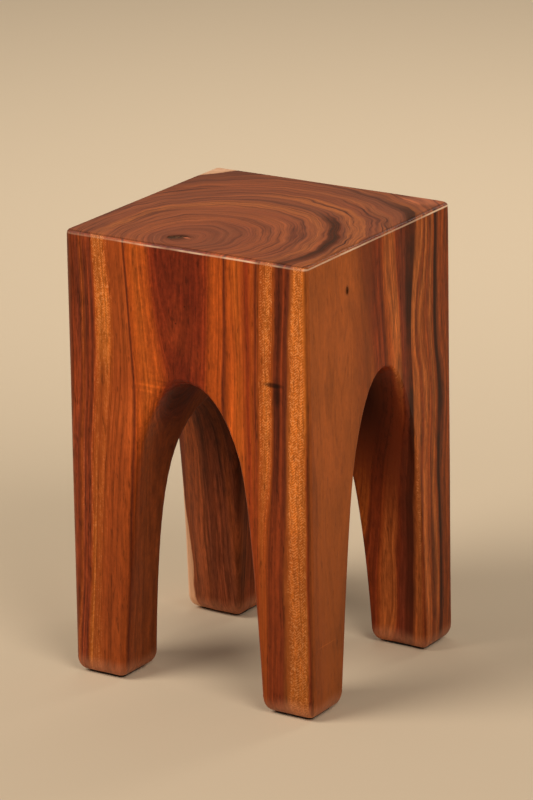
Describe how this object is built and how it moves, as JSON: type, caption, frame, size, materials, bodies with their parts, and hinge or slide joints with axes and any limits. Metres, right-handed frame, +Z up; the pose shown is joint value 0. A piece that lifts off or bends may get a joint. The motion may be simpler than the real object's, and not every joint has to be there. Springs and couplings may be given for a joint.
{
  "type": "side table",
  "caption": "Square side table carved from one solid block of striped hardwood, with arched tunnels crossing under a flat top and tapered legs on thin felt pads.",
  "frame": {"origin": "on the floor, under the middle of the block's footprint", "axes": "+Z up; +X to the right along the front face; +Y from the front face to the back"},
  "size_m": [0.2729, 0.268, 0.45],
  "materials": {
    "carved_wood": "satin clear coat over solid hardwood, ring and stripe figure",
    "dark_filler": "dark wood filler, sanded flush and coated",
    "dark_felt": "pressed felt"
  },
  "bodies": {
    "root": {"carved_block": "carved_wood", "pith_filler": "dark_filler", "front_foot_pad": "dark_felt", "left_foot_pad": "dark_felt", "right_foot_pad": "dark_felt", "back_foot_pad": "dark_felt"}
  },
  "joints": []
}
